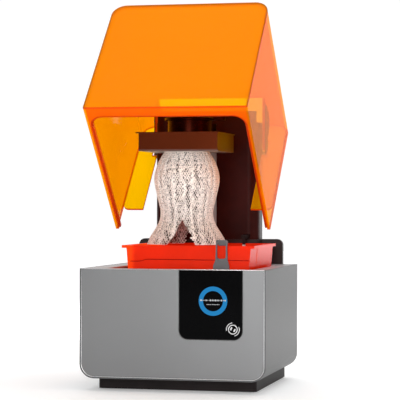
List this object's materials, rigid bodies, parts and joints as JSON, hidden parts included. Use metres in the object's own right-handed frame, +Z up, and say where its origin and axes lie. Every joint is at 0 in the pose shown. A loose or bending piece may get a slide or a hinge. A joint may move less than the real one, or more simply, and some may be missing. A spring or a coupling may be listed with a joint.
{
  "type": "desktop laser resin printer",
  "caption": "Desktop laser resin 3D printer with a tinted orange cover raised, a build platform with a lattice print, a resin tank with a wiper, and a silver base with a display.",
  "frame": {"origin": "on the floor under the centre of the base's footprint, in the plane that the foot pads stand on", "axes": "+Z up; the front with the display faces -Y; +X is to the right seen from the front"},
  "size_m": [0.35, 0.4299, 0.7263],
  "materials": {
    "base_foot": "fine textured dark plastic",
    "rubber_pads": "matte rubber",
    "base_shell": "satin silver sheet metal",
    "front_panel": "satin silver sheet metal with a bright chamfer",
    "rear_panel": "dark powder-coated metal",
    "case_screws": "plain steel",
    "rear_sockets": "black moulded plastic",
    "power_switch": "glossy black rocker",
    "deck_plate": "satin silver sheet metal",
    "tank_well": "black moulded plastic",
    "optical_window": "clear coated glass",
    "optics_frame": "dark anodised aluminium",
    "main_mirror": "front-silvered mirror",
    "galvo_block": "machined aluminium",
    "galvo_mirror_x": "small mirror on a steel shaft",
    "galvo_mirror_y": "small mirror on a steel shaft",
    "laser_module": "black anodised heat sink",
    "mainboard": "green circuit board",
    "power_supply": "galvanised metal case",
    "fan_frame": "black moulded plastic",
    "fan_rotor": "black moulded plastic",
    "display_bezel": "black plastic frame",
    "display_glass": "glossy black glass face",
    "display_module": "lit display panel",
    "panel_button": "round button with a pale ring",
    "tower_base": "black moulded plastic",
    "tower_front": "satin black plastic",
    "tower_rear": "satin black plastic",
    "hinge_pins": "ground steel pins",
    "z_column": "machined aluminium plate",
    "linear_rail": "ground steel rail",
    "z_motor": "black stepper motor",
    "lead_screw": "ground steel screw",
    "rail_block": "steel bearing block",
    "lead_nut": "brass nut",
    "z_arm": "black cast arm",
    "build_plate": "bead-blasted aluminium",
    "platform_body": "dark anodised body",
    "platform_lid": "dark anodised lid",
    "platform_hub": "dark anodised hub",
    "latch_lever": "dark anodised lever",
    "printed_model": "cured pale resin lattice",
    "resin_tank": "tinted translucent plastic",
    "tank_film": "clear silicone layer",
    "tank_carrier": "black moulded plastic",
    "wiper_rail": "ground steel rod",
    "wiper_carriage": "black moulded plastic",
    "wiper_handle": "grey moulded plastic",
    "wiper_bridge": "grey moulded plastic",
    "wiper_blade": "soft silicone blade",
    "cartridge_body": "dark opaque plastic bottle",
    "cartridge_cap": "grey plastic cap",
    "resin_spout": "pale moulded plastic",
    "cover_wrap": "tinted orange acrylic",
    "cover_front": "tinted orange acrylic",
    "cover_back": "tinted orange acrylic",
    "cover_rim": "deep orange acrylic rim",
    "hinge_gussets": "tinted orange acrylic",
    "hinge_arms": "black coated steel",
    "hinge_screws": "steel screws"
  },
  "bodies": {
    "base": {"base_foot": "base_foot", "rubber_pads": "rubber_pads", "base_shell": "base_shell", "front_panel": "front_panel", "rear_panel": "rear_panel", "case_screws": "case_screws", "rear_sockets": "rear_sockets", "deck_plate": "deck_plate", "tank_well": "tank_well", "optical_window": "optical_window", "optics_frame": "optics_frame", "main_mirror": "main_mirror", "galvo_block": "galvo_block", "laser_module": "laser_module", "mainboard": "mainboard", "power_supply": "power_supply", "fan_frame": "fan_frame", "display_bezel": "display_bezel", "display_glass": "display_glass", "display_module": "display_module", "tower_base": "tower_base", "tower_front": "tower_front", "tower_rear": "tower_rear", "hinge_pins": "hinge_pins", "z_column": "z_column", "linear_rail": "linear_rail", "z_motor": "z_motor", "wiper_rail": "wiper_rail", "resin_spout": "resin_spout"},
    "power_rocker": {"power_switch": "power_switch"},
    "button": {"panel_button": "panel_button"},
    "fan": {"fan_rotor": "fan_rotor"},
    "galvo_x": {"galvo_mirror_x": "galvo_mirror_x"},
    "galvo_y": {"galvo_mirror_y": "galvo_mirror_y"},
    "screw": {"lead_screw": "lead_screw"},
    "z_carriage": {"rail_block": "rail_block", "lead_nut": "lead_nut", "z_arm": "z_arm"},
    "platform": {"build_plate": "build_plate", "platform_body": "platform_body", "platform_lid": "platform_lid", "platform_hub": "platform_hub", "printed_model": "printed_model"},
    "latch": {"latch_lever": "latch_lever"},
    "tank": {"resin_tank": "resin_tank", "tank_film": "tank_film", "tank_carrier": "tank_carrier"},
    "wiper": {"wiper_carriage": "wiper_carriage", "wiper_handle": "wiper_handle", "wiper_bridge": "wiper_bridge", "wiper_blade": "wiper_blade"},
    "cartridge": {"cartridge_body": "cartridge_body", "cartridge_cap": "cartridge_cap"},
    "cover": {"cover_wrap": "cover_wrap", "cover_front": "cover_front", "cover_back": "cover_back", "cover_rim": "cover_rim", "hinge_gussets": "hinge_gussets", "hinge_arms": "hinge_arms", "hinge_screws": "hinge_screws"}
  },
  "joints": [
    {"name": "cover_hinge", "type": "hinge", "parent": "base", "child": "cover", "pos_m": [0, 0.1604, 0.446], "axis": [-1, 0, 0], "range_deg": [-45, 0]},
    {"name": "z_lift", "type": "slide", "parent": "base", "child": "z_carriage", "axis": [0, 0, 1], "range_m": [-0.206, 0], "deforming": ["printed_model"]},
    {"name": "screw_turn", "type": "hinge", "parent": "base", "child": "screw", "pos_m": [0.024, 0.124, 0.3], "axis": [0, 0, 1], "range_deg": [-9300, 0]},
    {"name": "platform_release", "type": "slide", "parent": "z_carriage", "child": "platform", "axis": [0, -1, 0], "range_m": [0, 0.1]},
    {"name": "latch_turn", "type": "hinge", "parent": "platform", "child": "latch", "pos_m": [0, -0.022, 0.5059], "axis": [0, 0, 1], "range_deg": [0, 90]},
    {"name": "wiper_slide", "type": "slide", "parent": "base", "child": "wiper", "axis": [1, 0, 0], "range_m": [-0.155, 0]},
    {"name": "tank_peel", "type": "slide", "parent": "base", "child": "tank", "axis": [1, 0, 0], "range_m": [-0.02, 0]},
    {"name": "cartridge_lift", "type": "slide", "parent": "base", "child": "cartridge", "axis": [0, 0, 1], "range_m": [0, 0.025]},
    {"name": "button_press", "type": "slide", "parent": "base", "child": "button", "axis": [0, 1, 0], "range_m": [0, 0.0015], "stiffness_N_per_m": 500, "springref_m": -0.002},
    {"name": "rocker_turn", "type": "hinge", "parent": "base", "child": "power_rocker", "pos_m": [-0.112, 0.1596, 0.092], "axis": [1, 0, 0], "range_deg": [0, 12]},
    {"name": "fan_spin", "type": "hinge", "parent": "base", "child": "fan", "pos_m": [0.095, 0.153, 0.11], "axis": [0, 1, 0], "continuous": true},
    {"name": "galvo_x_turn", "type": "hinge", "parent": "base", "child": "galvo_x", "pos_m": [-0.01, 0.062, 0.096], "axis": [1, 0, 0], "range_deg": [-12, 12]},
    {"name": "galvo_y_turn", "type": "hinge", "parent": "base", "child": "galvo_y", "pos_m": [0.01, 0.075, 0.092], "axis": [0, 1, 0], "range_deg": [-12, 12]}
  ],
  "couplings": [
    {"joint": "screw_turn", "follows": "z_lift", "rad_per_m": 785.4}
  ]
}
